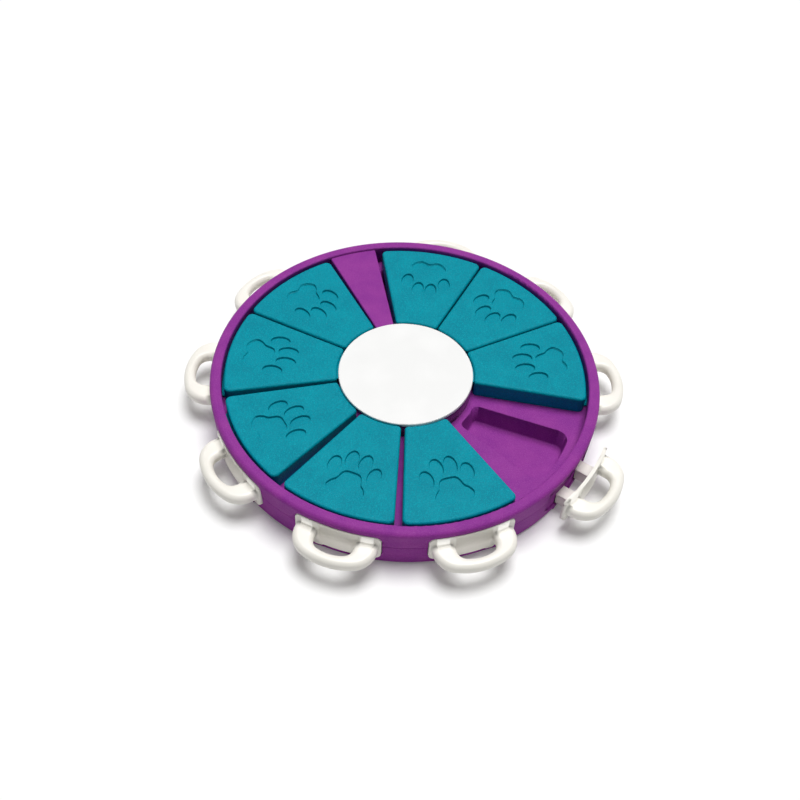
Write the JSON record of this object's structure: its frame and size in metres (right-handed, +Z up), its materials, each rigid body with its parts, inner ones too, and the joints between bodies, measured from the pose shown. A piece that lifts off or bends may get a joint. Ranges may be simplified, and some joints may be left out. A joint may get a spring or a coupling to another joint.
{
  "type": "dog puzzle feeder",
  "caption": "Round dog puzzle feeder: wedge-shaped blocks slide round a track over food pockets, and locks with finger loops pull out of the side wall.",
  "frame": {"origin": "under the centre of the round tray, on the surface that its rubber pads stand on", "axes": "+Z up, -Y towards the front, where the two nearest locks are; +X to the right of that front"},
  "size_m": [0.3789, 0.3725, 0.0433],
  "materials": {
    "purple_plastic": "fine satin moulding",
    "teal_plastic": "fine grained moulding",
    "white_plastic": "fine grained moulding",
    "lock_plastic": "semi-gloss moulding",
    "screw_steel": "plated",
    "pad_rubber": "soft"
  },
  "bodies": {
    "tray_body": {"lower_shell": "purple_plastic", "upper_tray": "purple_plastic", "hub_disc": "white_plastic", "shell_screws": "screw_steel", "disc_screws": "screw_steel", "rubber_pads": "pad_rubber"},
    "block_1": {"slide_block_1": "teal_plastic"},
    "block_2": {"slide_block_2": "teal_plastic"},
    "block_3": {"slide_block_3": "teal_plastic"},
    "block_4": {"slide_block_4": "teal_plastic"},
    "block_5": {"slide_block_5": "teal_plastic"},
    "block_6": {"slide_block_6": "teal_plastic"},
    "block_7": {"slide_block_7": "teal_plastic"},
    "block_8": {"slide_block_8": "teal_plastic"},
    "lock_1": {"lock_handle_1": "lock_plastic"},
    "lock_2": {"lock_handle_2": "lock_plastic"},
    "lock_3": {"lock_handle_3": "lock_plastic"},
    "lock_4": {"lock_handle_4": "lock_plastic"},
    "lock_5": {"lock_handle_5": "lock_plastic"},
    "lock_6": {"lock_handle_6": "lock_plastic"},
    "lock_7": {"lock_handle_7": "lock_plastic"},
    "lock_8": {"lock_handle_8": "lock_plastic"},
    "lock_9": {"lock_handle_9": "lock_plastic"}
  },
  "joints": [
    {"name": "block_1_slide", "type": "hinge", "parent": "tray_body", "child": "block_1", "pos_m": [0, 0, 0.03], "axis": [0, 0, 1], "range_deg": [0, 42]},
    {"name": "block_2_slide", "type": "hinge", "parent": "tray_body", "child": "block_2", "pos_m": [0, 0, 0.03], "axis": [0, 0, 1], "range_deg": [0, 42]},
    {"name": "block_3_slide", "type": "hinge", "parent": "tray_body", "child": "block_3", "pos_m": [0, 0, 0.03], "axis": [0, 0, 1], "range_deg": [0, 42]},
    {"name": "block_4_slide", "type": "hinge", "parent": "tray_body", "child": "block_4", "pos_m": [0, 0, 0.03], "axis": [0, 0, 1], "range_deg": [0, 42]},
    {"name": "block_5_slide", "type": "hinge", "parent": "tray_body", "child": "block_5", "pos_m": [0, 0, 0.03], "axis": [0, 0, 1], "range_deg": [0, 42]},
    {"name": "block_6_slide", "type": "hinge", "parent": "tray_body", "child": "block_6", "pos_m": [0, 0, 0.03], "axis": [0, 0, 1], "range_deg": [-42, 1.5]},
    {"name": "block_7_slide", "type": "hinge", "parent": "tray_body", "child": "block_7", "pos_m": [0, 0, 0.03], "axis": [0, 0, 1], "range_deg": [-42, 1.5]},
    {"name": "block_8_slide", "type": "hinge", "parent": "tray_body", "child": "block_8", "pos_m": [0, 0, 0.03], "axis": [0, 0, 1], "range_deg": [-42, 1.5]},
    {"name": "lock_1_pull", "type": "slide", "parent": "tray_body", "child": "lock_1", "axis": [-0.7918, 0.6108, 0], "range_m": [0, 0.014]},
    {"name": "lock_2_pull", "type": "slide", "parent": "tray_body", "child": "lock_2", "axis": [-1, 0.007, 0], "range_m": [0, 0.014]},
    {"name": "lock_3_pull", "type": "slide", "parent": "tray_body", "child": "lock_3", "axis": [-0.8002, -0.5997, 0], "range_m": [0, 0.014]},
    {"name": "lock_4_pull", "type": "slide", "parent": "tray_body", "child": "lock_4", "axis": [-0.274, -0.9617, 0], "range_m": [0, 0.014]},
    {"name": "lock_5_pull", "type": "slide", "parent": "tray_body", "child": "lock_5", "axis": [0.3641, -0.9314, 0], "range_m": [0, 0.014]},
    {"name": "lock_6_pull", "type": "slide", "parent": "tray_body", "child": "lock_6", "axis": [0.8536, -0.521, 0], "range_m": [-0.014, 0]},
    {"name": "lock_7_pull", "type": "slide", "parent": "tray_body", "child": "lock_7", "axis": [0.9948, 0.1019, 0], "range_m": [0, 0.014]},
    {"name": "lock_8_pull", "type": "slide", "parent": "tray_body", "child": "lock_8", "axis": [0.7302, 0.6833, 0], "range_m": [0, 0.014]},
    {"name": "lock_9_pull", "type": "slide", "parent": "tray_body", "child": "lock_9", "axis": [0.1676, 0.9859, 0], "range_m": [0, 0.014]}
  ],
  "couplings": [
    {"joint": "block_1_slide", "follows": "block_5_slide", "ratio": 1},
    {"joint": "block_2_slide", "follows": "block_5_slide", "ratio": 1},
    {"joint": "block_3_slide", "follows": "block_5_slide", "ratio": 1},
    {"joint": "block_4_slide", "follows": "block_5_slide", "ratio": 1},
    {"joint": "block_7_slide", "follows": "block_6_slide", "ratio": 1},
    {"joint": "block_8_slide", "follows": "block_6_slide", "ratio": 1}
  ]
}
